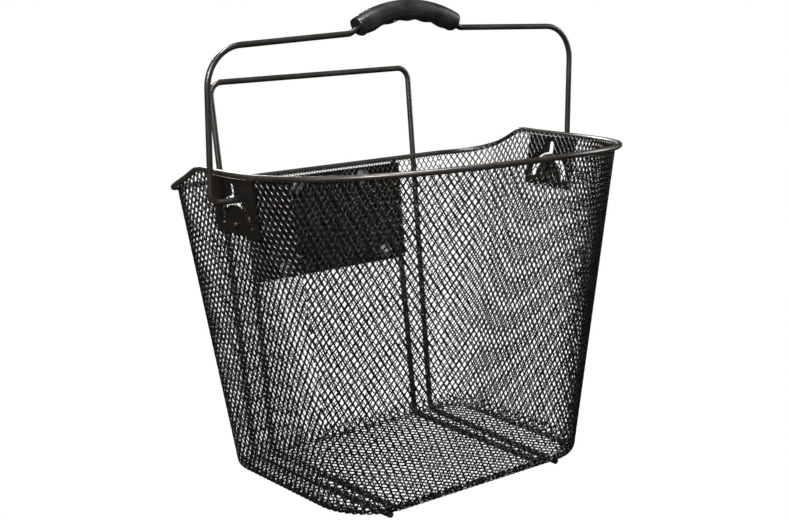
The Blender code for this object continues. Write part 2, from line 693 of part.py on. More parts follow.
# The bracket's own axes: x across, y out of the back, z up along the leaning wall. Its origin is on the
# outer surface of the sheet.
TO_BACK = Matrix.Translation((0, back_wall_y(BRACKET_MIDDLE), BRACKET_MIDDLE)) @ Matrix.Rotation(
    -WALL_LEAN, 4, "X"
)
SHEET_FACE = SHEET / 2
BRACKET_INNER = SHEET_FACE + TOUCH
BRACKET_OUTER = BRACKET_INNER + BRACKET


def on_back(point):
    return TO_BACK @ Vector(point)


def back_rod(name, place, radius, low, high, steps, material=None, collection=None):
    """A cylinder square to the bracket, from low to high above the sheet's middle."""
    along = TO_BACK.to_3x3() @ Vector((0, 1, 0))
    centre = on_back((place[0], 0, place[1]))
    return cylinder(name, centre, along, radius, low, high, steps, material, collection)


def build_bracket(places):
    """The bracket plate: a sheet on the mesh, flanges back to the stays, and a raised round pad."""
    half_width = STAY_HALF_WIDTH + BRACKET / 2
    sections = []
    for z in (-BRACKET_HALF, BRACKET_HALF):
        height = BRACKET_MIDDLE + z * math.cos(WALL_LEAN)
        stay = (frame_y(height) - back_wall_y(height)) * math.cos(WALL_LEAN)
        flange = stay - FRAME_WIRE_RADIUS - 2 * TOUCH
        half = [(0, BRACKET_INNER), (half_width, BRACKET_INNER), (half_width, flange)]
        half += [(half_width - BRACKET, flange), (half_width - BRACKET, BRACKET_OUTER), (0, BRACKET_OUTER)]
        ring = half + [(-x, y) for x, y in half[-2:0:-1]]
        sections.append([on_back((x, y, z)) for x, y in ring])
    plate = loft("bracket_plate", sections, COATED_PLATE)

    middle = (0, 0)
    raised = back_rod("bracket_pad", middle, PAD_RADIUS, BRACKET_INNER + BRACKET / 2,
                      BRACKET_OUTER + PAD_RAISE, 2 * ROUND_STEPS, None, CUTTERS)
    boolean(plate, raised, "UNION")
    hollow = back_rod("bracket_pad_hollow", middle, PAD_RADIUS - BRACKET, -CUT_MARGIN,
                      BRACKET_INNER + PAD_RAISE, 2 * ROUND_STEPS, None, CUTTERS)
    boolean(plate, hollow, "DIFFERENCE")

    back = bpy.data.objects["back_mesh"]
    for name, place in places.items():
        bore = back_rod(f"bore_{name}", place, BOLT_RADIUS + BOLT_GAP, -CUT_MARGIN, CUT_MARGIN,
                        SCREW_STEPS, None, CUTTERS)
        boolean(plate, bore, "DIFFERENCE")
        boolean(back, bore, "DIFFERENCE")


def build_fastener(name, place):
    """A bolt from outside, with a washer and a nut on the inner face of the mesh."""
    washer_high = -SHEET_FACE - TOUCH
    washer_low = washer_high - WASHER
    nut_high = washer_low - TOUCH
    nut_low = nut_high - NUT
    seat = BRACKET_OUTER + TOUCH
    bolt = back_rod(f"bolt_{name}", place, BOLT_RADIUS, nut_low - BOLT_END, seat + BOLT_HEAD / 2,
                    SCREW_STEPS, ZINC)
    head = back_rod(f"bolt_head_{name}", place, BOLT_HEAD_RADIUS, seat, seat + BOLT_HEAD, ROUND_STEPS,
                    None, CUTTERS)
    boolean(bolt, head, "UNION")
    washer = back_rod(f"washer_{name}", place, WASHER_RADIUS, washer_low, washer_high, ROUND_STEPS, ZINC)
    washer_bore = back_rod(f"washer_bore_{name}", place, BOLT_RADIUS + BOLT_GAP, -CUT_MARGIN, CUT_MARGIN,
                           SCREW_STEPS, None, CUTTERS)
    boolean(washer, washer_bore, "DIFFERENCE")
    corner = NUT_ACROSS / 2 / math.cos(math.radians(30))
    nut = back_rod(f"nut_{name}", place, corner, nut_low, nut_high, 6, ZINC)
    nut_bore = back_rod(f"nut_bore_{name}", place, BOLT_RADIUS + THREAD_GAP, -CUT_MARGIN, CUT_MARGIN,
                        SCREW_STEPS, None, CUTTERS)
    boolean(nut, nut_bore, "DIFFERENCE")


def bolt_places():
    row = BRACKET_HALF - BOLT_EDGE
    return {
        "upper_left": (-BOLT_UPPER_HALF_SPACING, row),
        "upper_right": (BOLT_UPPER_HALF_SPACING, row),
        "lower_left": (-BOLT_LOWER_HALF_SPACING, -row),
        "lower_right": (BOLT_LOWER_HALF_SPACING, -row),
    }


# ---- Assembly ----
build_rim()
build_back_panel()
for panel_side, panel_name in ((-1, "left"), (1, "right")):
    build_side_panel(panel_side, f"{panel_name}_mesh")
    build_front_panel(panel_side, f"front_{panel_name}_mesh")
    build_stay(panel_side, f"{panel_name}_stay")
    build_handle_plate(panel_side, f"{panel_name}_handle_plate")
build_floor()
build_hoop()
hang_on_axis(build_bail() + build_grip())
build_bracket(bolt_places())
for bolt_name, bolt_place in bolt_places().items():
    build_fastener(bolt_name, bolt_place)
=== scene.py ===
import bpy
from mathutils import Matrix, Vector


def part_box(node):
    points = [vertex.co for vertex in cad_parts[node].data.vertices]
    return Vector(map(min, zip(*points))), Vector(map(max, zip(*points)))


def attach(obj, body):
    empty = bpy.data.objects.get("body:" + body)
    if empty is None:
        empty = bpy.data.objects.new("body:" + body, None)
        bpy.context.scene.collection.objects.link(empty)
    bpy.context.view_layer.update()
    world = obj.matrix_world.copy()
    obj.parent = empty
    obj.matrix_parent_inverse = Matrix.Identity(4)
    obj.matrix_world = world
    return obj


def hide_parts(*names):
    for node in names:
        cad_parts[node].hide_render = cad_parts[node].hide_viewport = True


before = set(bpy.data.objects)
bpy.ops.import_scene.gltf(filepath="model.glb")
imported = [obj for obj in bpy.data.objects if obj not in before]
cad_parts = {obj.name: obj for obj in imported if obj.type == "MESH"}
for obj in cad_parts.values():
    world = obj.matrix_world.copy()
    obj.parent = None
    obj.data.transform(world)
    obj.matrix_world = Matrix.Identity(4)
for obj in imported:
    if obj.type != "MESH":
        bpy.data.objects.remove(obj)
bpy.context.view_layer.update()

# %% [markdown]
# # A black wire handlebar basket
# The real basket is a tub of expanded steel hung in a wire rim, a carry handle of bent wire with a plastic
# grip, and a rear hoop whose legs run down the back and under the floor. All of the steel is powder coated
# black after it is welded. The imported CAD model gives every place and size, and this lesson gives the looks.
# The tub needs the most care, because nearly all that is seen of the object is its net.

# %% Tools and named sizes
import math

import bmesh
import bpy
import numpy as np
from mathutils import Vector

# The sizes of the CAD model that the looks follow, in metres.
RIM_HALF_WIDTH = 0.172
RIM_BACK = 0.1107
RIM_BACK_CORNER = 0.042
RIM_WIRE_RADIUS = 0.00225
RIM_BACK_HEIGHT = 0.239
RIM_SIDE_RISE = 0.026
RIM_SIDE_RAMP = 0.066
RAMP_POWER = 1.6
RAMP_ROUNDS_AT = 0.9
RIM_FRONT_RISE = 0.017
FLOOR_HALF_WIDTH = 0.1315
FLOOR_BACK = 0.0796
FLOOR_FRONT = 0.0998
FLOOR_BACK_CORNER = 0.0288
FLOOR_FRONT_CORNER = 0.0484
CORNER_SHARE = 0.92
BOTTOM_BEND = 0.007
SHEET = 0.0024
TOUCH = 0.0003
FRAME_WIRE_RADIUS = 0.0025
HANDLE_WIRE_RADIUS = 0.0024
HANDLE_AXIS_HEIGHT = 0.227
SIDE_PANEL_SWEEP = 20.0
FLOOR_Z = 2 * FRAME_WIRE_RADIUS + TOUCH + SHEET / 2
SHEET_INSET = RIM_WIRE_RADIUS + TOUCH + SHEET / 2
SIDE_HEIGHT = RIM_BACK_HEIGHT + RIM_SIDE_RISE
ROUND_START = RAMP_ROUNDS_AT**RAMP_POWER
ROUND_SLOPE = RAMP_POWER * RAMP_ROUNDS_AT ** (RAMP_POWER - 1)
RAMP_END = RAMP_ROUNDS_AT + 2 * (1 - ROUND_START) / ROUND_SLOPE
PEAK_Y = RIM_BACK - RIM_SIDE_RAMP * RAMP_END

# The handle's axis runs through the middle of the slot plates, front to back.
plate_low, plate_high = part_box("left_handle_plate")
AXIS_Y = (plate_low.y + plate_high.y) / 2
print(f"handle axis {AXIS_Y * 1000:.2f} mm behind the middle, {HANDLE_AXIS_HEIGHT * 1000:.0f} mm up")


# %% [markdown]
# ## Shader maths as Python
# A finish is a small program: noise makes a mask, the mask shifts a colour or a roughness. Wiring that by
# hand hides the arithmetic, so one class wraps a socket and lets the operators add the Math nodes.

# %% A socket that can be added, multiplied and subtracted
class Value:
    def __init__(self, finish, socket):
        self.finish = finish
        self.socket = socket

    def maths(self, operation, first, second):
        made = self.finish.node("ShaderNodeMath", {"operation": operation}, {0: first, 1: second})
        return Value(self.finish, made.outputs[0])

    def __add__(self, other):
        return self.maths("ADD", self, other)

    __radd__ = __add__

    def __mul__(self, other):
        return self.maths("MULTIPLY", self, other)

    __rmul__ = __mul__

    def __sub__(self, other):
        return self.maths("SUBTRACT", self, other)

    def __rsub__(self, other):
        return self.maths("SUBTRACT", other, self)


class Finish:
    """A material under construction."""

    def __init__(self, name):
        self.material = bpy.data.materials.new(name)
        self.material.use_nodes = True
        self.tree = self.material.node_tree
        self.surface = self.tree.nodes["Principled BSDF"]

    def node(self, kind, settings=None, inputs=None):
        made = self.tree.nodes.new(kind)
        for key, value in (settings or {}).items():
            if key == "stops":
                ramp = made.color_ramp.elements
                for element, (place, shade) in zip(ramp, value):
                    element.position = place
                    element.color = (shade, shade, shade, 1)
            else:
                setattr(made, key, value)
        for key, value in (inputs or {}).items():
            self.feed(made.inputs[key], value)
        return made

    def feed(self, socket, value):
        if isinstance(value, Value):
            self.tree.links.new(value.socket, socket)
        else:
            socket.default_value = value

    def place(self):
        return Value(self, self.node("ShaderNodeTexCoord").outputs["Object"])

    def noise(self, scale, detail=3.0, roughness=0.55):
        inputs = {"Vector": self.place(), "Scale": scale, "Detail": detail, "Roughness": roughness}
        return Value(self, self.node("ShaderNodeTexNoise", None, inputs).outputs["Fac"])

    def ramp(self, value, low, high):
        made = self.node("ShaderNodeValToRGB", {"stops": [(low, 0.0), (high, 1.0)]}, {"Fac": value})
        return Value(self, made.outputs["Color"])

    def mix(self, share, first, second):
        inputs = {0: share, 6: (*first, 1), 7: (*second, 1)}
        made = self.node("ShaderNodeMix", {"data_type": "RGBA"}, inputs)
        return Value(self, made.outputs[2])

    def bump(self, height, depth, strength=1.0):
        inputs = {"Height": height, "Distance": depth, "Strength": strength}
        return Value(self, self.node("ShaderNodeBump", None, inputs).outputs["Normal"])

    def set(self, **values):
        for key, value in values.items():
            self.feed(self.surface.inputs[key.replace("_", " ")], value)
        return self.material


# %% [markdown]
# ## The finishes
# Powder coat is sprayed dry and melted on, so it pulls into a fine orange peel, it pools a little thicker
# in the corners, and its sheen varies over a few millimetres. Moulded plastic has a spark-eroded grain.
# Zinc plating is a thin bright metal with a faint mottle. Each one is noise at two or three sizes.

# %% Powder coat, plastic and zinc
# Noise scales: the higher, the finer the feature.
CLOUD_SCALE = 38.0
PEEL_SCALE = 1500.0
PORE_SCALE = 5200.0
GRAIN_SCALE = 2600.0
RUB_SCALE = 55.0
MOTTLE_SCALE = 420.0
SCRATCH_SCALE = 3800.0
# How far a bump's height goes, in metres.
PEEL_DEPTH = 0.00005
GRAIN_DEPTH = 0.00006
SCRATCH_DEPTH = 0.00002
COAT_DARK = (0.82, 0.72, 0.62)
COAT_LIGHT = (1.4, 1.24, 1.08)
PLASTIC_DARK = (0.009, 0.009, 0.0095)
PLASTIC_LIGHT = (0.017, 0.017, 0.018)
ZINC_DARK = (0.52, 0.53, 0.56)
ZINC_LIGHT = (0.74, 0.75, 0.76)


def powder_coat(name, shade, roughness, coat):
    finish = Finish(name)
    cloud = finish.ramp(finish.noise(CLOUD_SCALE), 0.35, 0.7)
    peel = finish.noise(PEEL_SCALE, 2.0)
    pores = finish.ramp(finish.noise(PORE_SCALE, 1.0), 0.62, 0.8)
    dark = [tint * shade for tint in COAT_DARK]
    light = [tint * shade for tint in COAT_LIGHT]
    return finish.set(
        Base_Color=finish.mix(cloud, dark, light),
        Roughness=roughness + 0.10 * cloud + 0.08 * peel,
        Metallic=0.0,
        Specular_IOR_Level=0.5,
        Coat_Weight=coat * (1 - 0.35 * pores),
        Coat_Roughness=0.22,
        Normal=finish.bump(peel - 0.5 * pores, PEEL_DEPTH, 0.7),
    )


def moulded_plastic(name):
    finish = Finish(name)
    grain = finish.noise(GRAIN_SCALE, 3.0, 0.6)
    rubbed = finish.ramp(finish.noise(RUB_SCALE, 2.0), 0.4, 0.65)
    return finish.set(
        Base_Color=finish.mix(rubbed, PLASTIC_DARK, PLASTIC_LIGHT),
        Roughness=0.30 + 0.12 * rubbed + 0.10 * grain,
        Specular_IOR_Level=0.5,
        Normal=finish.bump(grain, GRAIN_DEPTH, 0.6),
    )


def zinc_plate(name):
    finish = Finish(name)
    mottle = finish.ramp(finish.noise(MOTTLE_SCALE, 4.0), 0.35, 0.7)
    scratches = finish.noise(SCRATCH_SCALE, 2.0, 0.7)
    return finish.set(
        Base_Color=finish.mix(mottle, ZINC_DARK, ZINC_LIGHT),
        Roughness=0.20 + 0.14 * mottle + 0.06 * scratches,
        Metallic=1.0,
        Normal=finish.bump(scratches, SCRATCH_DEPTH, 0.5),
    )


# The wires carry the same black coat as the net, but their base shade is lighter: painted sheen standing in
# for the grey reflection along the wires.
WIRE_COAT_WITH_PAINTED_SHEEN = powder_coat("wire_coat_with_painted_sheen", 0.0150, 0.28, 0.4)
COATED_MESH = powder_coat("satin_coated_net", 0.0040, 0.17, 0.45)
COATED_PLATE = powder_coat("satin_coated_plate", 0.0045, 0.30, 0.2)
GRIP_PLASTIC = moulded_plastic("moulded_grip")
ZINC = zinc_plate("bright_zinc")
print("finishes:", [m.name for m in (WIRE_COAT_WITH_PAINTED_SHEEN, COATED_MESH, COATED_PLATE, GRIP_PLASTIC, ZINC)])


# %% [markdown]
# ## Helpers for pieces
# Every visible piece is linked to the scene, given its finish, rides on a CAD body, and hides the CAD
# nodes that it stands for.

# %% Adding a piece
def add_piece(thing, material, body, slot, *nodes):
    bpy.context.scene.collection.objects.link(thing)
    thing.data.materials.clear()
    thing.data.materials.append(material)
    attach(thing, body)
    if nodes:
        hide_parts(*nodes)
    return thing


def mesh_of(name, points, faces, smooth=True):
    mesh = bpy.data.meshes.new(name)
    mesh.from_pydata([tuple(point) for point in points], [], faces)
    mesh.polygons.foreach_set("use_smooth", [smooth] * len(mesh.polygons))
    mesh.update()
    return bpy.data.objects.new(name, mesh)


# %% [markdown]
# ## The tub's surface
# The real tub is made from flat sheet that is rolled and pressed into a tapered wall. So its surface is
# worked out once, as matching outlines at the rim and at the floor, and the net is then laid on it in the
# flat and bent into place. Both outlines run from the middle of the front to the middle of the back.

# %% Matching outlines of the rim and the floor
def turned(degrees):
    turn = np.radians(degrees)
    return np.stack([np.cos(turn), np.sin(turn)], 1)


def ramp_rise(share):
    """The rim's climb from 0 to 1: it starts softly and ends in a short rounded shoulder."""
    share = np.clip(share, 0, RAMP_END)
    rounded = ROUND_START + ROUND_SLOPE * (share - RAMP_ROUNDS_AT)
    rounded -= ROUND_SLOPE * (share - RAMP_ROUNDS_AT) ** 2 / (2 * (RAMP_END - RAMP_ROUNDS_AT))
    return np.where(share < RAMP_ROUNDS_AT, share**RAMP_POWER, rounded)


def rim_height(y):
    climb = RIM_BACK_HEIGHT + RIM_SIDE_RISE * ramp_rise((RIM_BACK - y) / RIM_SIDE_RAMP)
    front = SIDE_HEIGHT + RIM_FRONT_RISE * ((PEAK_Y - y) / (PEAK_Y + RIM_HALF_WIDTH)) ** 2
    return np.where(y > PEAK_Y, climb, front)


def corner_arc(half_width, reach, radius, out, sign):
    """Points of a corner with these outward directions; sign is -1 for the front and 1 for the back."""
    x = half_width - radius * (1 - out[:, 0])
    return np.stack([x, sign * (reach - radius * (1 - sign * out[:, 1]))], 1)


STRETCH = 240  # stations on each of the four stretches: front, side, back corner, back


def outlines():
    share = np.linspace(1, 0, STRETCH + 1)
    rim, rim_out, floor, floor_out = [], [], [], []

    def stretch(points, out, low_points, low_out):
        for kept, new in zip((rim, rim_out, floor, floor_out), (points, out, low_points, low_out)):
            kept.append(new[:-1])

    out = turned(-90 * share)
    low_out = turned(-90 * np.minimum(share / CORNER_SHARE, 1))
    low = corner_arc(FLOOR_HALF_WIDTH, FLOOR_FRONT, FLOOR_FRONT_CORNER, low_out, -1)
    flat = share > CORNER_SHARE
    low[flat, 0] = (1 - share[flat]) / (1 - CORNER_SHARE) * (FLOOR_HALF_WIDTH - FLOOR_FRONT_CORNER)
    stretch(RIM_HALF_WIDTH * out, out, low, low_out)

    out = turned(0 * share)
    across = np.full_like(share, RIM_HALF_WIDTH)
    side = np.stack([across, (RIM_BACK - RIM_BACK_CORNER) * (1 - share)], 1)
    back_end = FLOOR_BACK - FLOOR_BACK_CORNER
    front_end = FLOOR_FRONT_CORNER - FLOOR_FRONT
    low = np.stack([np.full_like(share, FLOOR_HALF_WIDTH), back_end + share * (front_end - back_end)], 1)
    stretch(side, out, low, out)

    out = turned(90 * (1 - share))
    corner = corner_arc(RIM_HALF_WIDTH, RIM_BACK, RIM_BACK_CORNER, out, 1)
    stretch(corner, out, corner_arc(FLOOR_HALF_WIDTH, FLOOR_BACK, FLOOR_BACK_CORNER, out, 1), out)

    out = turned(90 + 0 * share)
    back = np.stack([share * (RIM_HALF_WIDTH - RIM_BACK_CORNER), np.full_like(share, RIM_BACK)], 1)
    low = np.stack([share * (FLOOR_HALF_WIDTH - FLOOR_BACK_CORNER), np.full_like(share, FLOOR_BACK)], 1)
    stretch(np.append(back, back[-1:], 0), np.append(out, out[-1:], 0), np.append(low, low[-1:], 0),
            np.append(out, out[-1:], 0))
    return [np.concatenate(rows) for rows in (rim, rim_out, floor, floor_out)]


RIM, RIM_OUT, FLOOR, FLOOR_OUT = outlines()
NET_TOP = RIM - RIM_OUT * SHEET_INSET
TOP_HEIGHT = rim_height(RIM[:, 1])
LOW_HEIGHT = FLOOR_Z + BOTTOM_BEND


def run_along(points):
    steps = np.linalg.norm(np.diff(points, axis=0), axis=1)
    return np.concatenate([[0], np.cumsum(steps)])


TOP_RUN = run_along(NET_TOP)
LOW_RUN = run_along(FLOOR)
STATION = np.arange(len(RIM), dtype=float)
print(f"half the rim runs {TOP_RUN[-1] * 1000:.0f} mm and half the floor {LOW_RUN[-1] * 1000:.0f} mm")


def look_up(table, station):
    low = np.clip(station.astype(int), 0, len(table) - 2)
    part = (station - low)[:, None] if table.ndim > 1 else station - low
    return table[low] * (1 - part) + table[low + 1] * part


HALVINGS = 26  # of the search for a station, far below a micrometre


def station_of(run, height, origin):
    """The outline station whose distance from the origin station is run, at this share of the height."""
    goal = run + run_at(np.full_like(run, origin), height)
    low, high = np.zeros_like(run), np.full_like(run, STATION[-1])
    for _ in range(HALVINGS):
        middle = (low + high) / 2
        short = run_at(middle, height) < goal
        low, high = np.where(short, middle, low), np.where(short, high, middle)
    return (low + high) / 2


def run_at(station, height):
    return look_up(LOW_RUN, station) * (1 - height) + look_up(TOP_RUN, station) * height


def wall_points(station, height, lift):
    """Points of the wall; a height below 0 runs down round the bottom bend."""
    low, low_out = look_up(FLOOR, station), look_up(FLOOR_OUT, station)
    top, top_out = look_up(NET_TOP, station), look_up(RIM_OUT, station)
    rise = look_up(TOP_HEIGHT, station) - LOW_HEIGHT
    up = np.clip(height, 0, None)[:, None]
    foot = low + low_out * lift[:, None]
    head = top + top_out * lift[:, None]
    wall = np.column_stack([foot * (1 - up) + head * up, LOW_HEIGHT + rise * up[:, 0]])
    turn = np.clip(-height * rise / BOTTOM_BEND, 0, math.pi / 2)
    radius = BOTTOM_BEND + lift
    under = np.clip(-height * rise - BOTTOM_BEND * math.pi / 2, 0, None)
    inward = BOTTOM_BEND - radius * np.cos(turn) + under
    bend = np.column_stack([low - low_out * inward[:, None], LOW_HEIGHT - radius * np.sin(turn)])
    points = np.where((height < 0)[:, None], bend, wall)
    points[:, 1] += AXIS_Y
    return points


# %% [markdown]
# ## The net
# Expanded metal starts as a solid sheet with rows of staggered slits. Pulling it opens each slit into a
# diamond and twists the strands between them, so that one edge of every strand stands proud. There is no
# weaving and no waste. A net could be faked with a see-through pattern, but light has to pass through ten
# thousand real openings here and catch their twisted edges. So each diamond is a ring of eight faces
# between its centre lines and its hole, neighbours share their outer points, and Solidify gives the steel.

# %% One sheet of diamonds, in the flat
DIAMOND_WIDTH = 0.0058
HALF_DIAMOND = 0.0044
HOLE_HALF_WIDTH = 0.00240
HOLE_HALF_HEIGHT = 0.00345
HOLE_ROUNDNESS = 0.525
STRAND_THICKNESS = 0.00065
STRAND_TWIST = 0.00062
WELD = 2e-5
SPARE = 3  # diamonds laid past a panel's edge before it is cut


def diamonds(columns, rows):
    """Flat points (across, up, lift) in diamond units, and faces, of a sheet of staggered diamonds."""
    x, y = 0.5, 1.0
    hole_x = HOLE_HALF_WIDTH / DIAMOND_WIDTH
    hole_y = HOLE_HALF_HEIGHT / HALF_DIAMOND
    ring = [(0, y), (x / 2, y / 2), (x, 0), (x / 2, -y / 2)]
    soft = HOLE_ROUNDNESS
    hole = [(0, hole_y), (hole_x * soft, hole_y * soft), (hole_x, 0), (hole_x * soft, -hole_y * soft)]
    ring += [(-across, -up) for across, up in ring]
    hole += [(-across, -up) for across, up in hole]
    points, faces, known = [], [], {}
    for row in range(rows[0], rows[1] + 1):
        for column in range(columns[0], columns[1] + 1):
            centre = (column + 0.5 * (row % 2), float(row))
            outer = []
            for across, up in ring:
                place = (centre[0] + across, centre[1] + up)
                key = (round(place[0] * 4), round(place[1] * 4))
                if key not in known:
                    known[key] = len(points)
                    points.append((*place, 0.0))
                outer.append(known[key])
            inner = []
            for across, up in hole:
                inner.append(len(points))
                lift = math.copysign(1, across) if across else 0.0
                points.append((centre[0] + across, centre[1] + up, lift))
            for i in range(len(ring)):
                j = (i + 1) % len(ring)
                faces.append((outer[i], outer[j], inner[j], inner[i]))
    return np.array(points), faces


def cut_flat(points, faces, cuts):
    """The flat sheet cut along straight lines: each cut is a point on it and the direction that is kept."""
    mesh = bpy.data.meshes.new("flat_sheet")
    mesh.from_pydata([tuple(point) for point in points], [], faces)
    work = bmesh.new()
    work.from_mesh(mesh)
    for place, keep in cuts:
        parts = work.verts[:] + work.edges[:] + work.faces[:]
        bmesh.ops.bisect_plane(work, geom=parts, dist=WELD / 2, plane_co=(*place, 0), plane_no=(*keep, 0),
                               clear_inner=True)
    points = np.array([vert.co for vert in work.verts])
    work.verts.index_update()
    faces = [[vert.index for vert in face.verts] for face in work.faces]
    work.free()
    bpy.data.meshes.remove(mesh)
    return points, faces


def thicken(thing):
    solid = thing.modifiers.new("steel", "SOLIDIFY")
    solid.thickness = STRAND_THICKNESS
    solid.offset = 0
    return thing


# %% Laying a sheet on the wall
UNDERLAP = 0.005  # how far the wall's net is folded in under the floor's
FOLD_RUN = BOTTOM_BEND * math.pi / 2 + UNDERLAP
WINDOW_RADII = (0.0126, 0.0246)  # opening in the net behind each plate's half-round slot
WINDOW_DROP = 0.0045
PIVOT_WINDOW = 0.0055
NOTCH_WINDOW_HALF_WIDTH = 0.005
NOTCH_WINDOW_TOP = 0.034


def run_between(origin, station, height):
    ends = [run_at(np.array([float(place)]), np.array([height]))[0] for place in (origin, station)]
    return ends[1] - ends[0]


def net_half(side, origin, first, last, rows):
    """Points and faces of a panel between two outline stations, its diamonds upright about the origin."""
    rise = look_up(TOP_HEIGHT, np.array([(first + last) / 2]))[0] - LOW_HEIGHT
    fold = FOLD_RUN / rise * rows
    edges = [[run_between(origin, place, h) / DIAMOND_WIDTH for h in (0.0, 1.0)] for place in (first, last)]
    columns = (int(min(edges[0])) - SPARE, int(max(edges[1])) + SPARE)
    points, faces = diamonds(columns, (-int(fold) - 2, rows + 1))
    cuts = [((0, rows), (0, -1)), ((0, -fold), (0, 1))]
    for (low, high), sign in zip(edges, (1, -1)):
        cuts.append(((low, 0), (sign * rows, -sign * (high - low))))
    points, faces = cut_flat(points, faces, cuts)
    height = points[:, 1] / rows
    station = station_of(points[:, 0] * DIAMOND_WIDTH, height, origin)
    # The steel is added evenly on both sides later, so only the twist lifts a point here.
    spread = wall_points(station, height, side * points[:, 2] * STRAND_TWIST)
    spread[:, 0] *= side
    return spread, faces


def joined(halves):
    points, faces, count = [], [], 0
    for half_points, half_faces in halves:
        points.append(half_points)
        faces += [[index + count for index in face] for face in half_faces]
        count += len(half_points)
    return np.concatenate(points), faces


def net_piece(name, node, points, faces):
    thing = mesh_of(name, points, faces)
    work = bmesh.new()
    work.from_mesh(thing.data)
    bmesh.ops.remove_doubles(work, verts=work.verts, dist=WELD)
    bmesh.ops.dissolve_degenerate(work, edges=work.edges, dist=WELD)
    loose = [vert for vert in work.verts if not vert.link_faces]
    bmesh.ops.delete(work, geom=loose, context="VERTS")
    for face in work.faces:
        face.smooth = True
    work.to_mesh(thing.data)
    work.free()
    thicken(thing)
    add_piece(thing, COATED_MESH, "basket", "coated_mesh", node)
    print(f"{name}: {len(thing.data.polygons)} faces before the steel is given its thickness")
    return thing


def without_window(points, faces):
    middles = np.array([points[list(face)].mean(0) for face in faces])
    along, up = middles[:, 1] - AXIS_Y, middles[:, 2] - HANDLE_AXIS_HEIGHT
    notch = (abs(along) < NOTCH_WINDOW_HALF_WIDTH) & (up > 0) & (up < NOTCH_WINDOW_TOP)
    away = np.hypot(along, up)
    slot = (away > WINDOW_RADII[0]) & (away < WINDOW_RADII[1]) & (up > -WINDOW_DROP)
    inside = notch | slot | (away < PIVOT_WINDOW)
    return points, [face for face, gone in zip(faces, inside) if not gone]


FRONT_EDGE = STRETCH * (1 - SIDE_PANEL_SWEEP / 90)
SIDE_MIDDLE = STRETCH * 1.5
SIDE_EDGE = STRETCH * 3.0
BACK_MIDDLE = STATION[-1]
FRONT_ROWS, SIDE_ROWS, BACK_ROWS = 60, 56, 52
for side_name, side_sign in (("left", -1), ("right", 1)):
    front = net_half(side_sign, 0.0, 0.0, FRONT_EDGE, FRONT_ROWS)
    net_piece(f"front_{side_name}_net", f"front_{side_name}_mesh", *front)
    flank = net_half(side_sign, SIDE_MIDDLE, FRONT_EDGE, SIDE_EDGE, SIDE_ROWS)
    net_piece(f"{side_name}_net", f"{side_name}_mesh", *without_window(*flank))
back = joined([net_half(sign, BACK_MIDDLE, SIDE_EDGE, BACK_MIDDLE, BACK_ROWS) for sign in (-1, 1)])
net_piece("back_net", "back_mesh", *back)


# %% [markdown]
# ## The floor
# The floor is a separate panel of the same net. Its rim is turned up inside the walls and spot welded to
# them, and that doubled band is why the bottom edge of a mesh basket looks so much darker and more solid
# than its sides. A flat sheet is bent by measuring how far each point lies past the start of the bend.

# %% The floor's net, turned up at its edge
FLOOR_LIFT = 0.0011
FLANGE = 0.0105  # the width of the turned-up edge
FLANGE_SLACK = 0.0005
THIN = 6  # every sixth station is enough to measure from
SHORTEST = 1e-12
ON_EDGE = 1e-5
FLOOR_STRETCH = 1.3  # the floor's diamonds are this much larger than the walls'


def floor_net():
    inset = FLOOR - FLOOR_OUT * BOTTOM_BEND
    loop = np.concatenate([inset[::THIN], inset[::-THIN] * (-1, 1)])
    out = np.concatenate([FLOOR_OUT[::THIN], FLOOR_OUT[::-THIN] * (-1, 1)])
    width, half_height = FLOOR_STRETCH * DIAMOND_WIDTH, FLOOR_STRETCH * HALF_DIAMOND
    columns = int(FLOOR_HALF_WIDTH / width) + SPARE
    rows = int(FLOOR_FRONT / half_height) + SPARE
    points, faces = diamonds((-columns, columns), (-rows, rows))
    flat = points[:, :2] * (width, half_height)
    beyond = np.empty(len(flat))
    direction = np.empty((len(flat), 2))
    start, end = loop, np.roll(loop, -1, 0)
    along = end - start
    length = np.maximum((along**2).sum(1), SHORTEST)
    for i, place in enumerate(flat):
        share = np.clip(((place - start) * along).sum(1) / length, 0, 1)
        gap = place - start - along * share[:, None]
        nearest = (gap**2).sum(1).argmin()
        away = out[nearest]
        distance = math.hypot(*gap[nearest])
        beyond[i] = distance if gap[nearest] @ away > 0 else -distance
        direction[i] = gap[nearest] / distance if beyond[i] > ON_EDGE else away
    middles = np.array([beyond[list(face)].mean() for face in faces])
    faces = [face for face, past in zip(faces, middles) if past < FLANGE]
    past = np.clip(beyond, 0, FLANGE + FLANGE_SLACK)
    lift = points[:, 2] * STRAND_TWIST
    bend = BOTTOM_BEND - FLOOR_LIFT
    turn = np.minimum(past / bend, math.pi / 2)
    upright = np.clip(past - bend * math.pi / 2, 0, None)
    moved = flat - direction * np.clip(beyond, 0, None)[:, None]
    moved = moved + direction * ((bend - lift) * np.sin(turn))[:, None]
    height = FLOOR_Z + FLOOR_LIFT + bend - (bend - lift) * np.cos(turn) + upright
    return np.column_stack([moved[:, 0], moved[:, 1] + AXIS_Y, height]), faces


net_piece("floor_net", "floor_mesh", *floor_net())


# %% [markdown]
# ## Wires
# The rim, the hoop, the stays and the handle are drawn steel wire, bent cold round small formers, so each
# one is a line of straight runs and true arcs with one round section. A curve with a bevel is exactly that.

# %% Bent wires
BEND_STEPS = 14
WIRE_WELD = 1e-6
ROUNDNESS = 6
# A cut end is tumbled round: (share of the radius, distance in from the end in radii).
ROUNDED_END = ((0.72, 0.0), (0.9, 0.12), (1.0, 0.4))


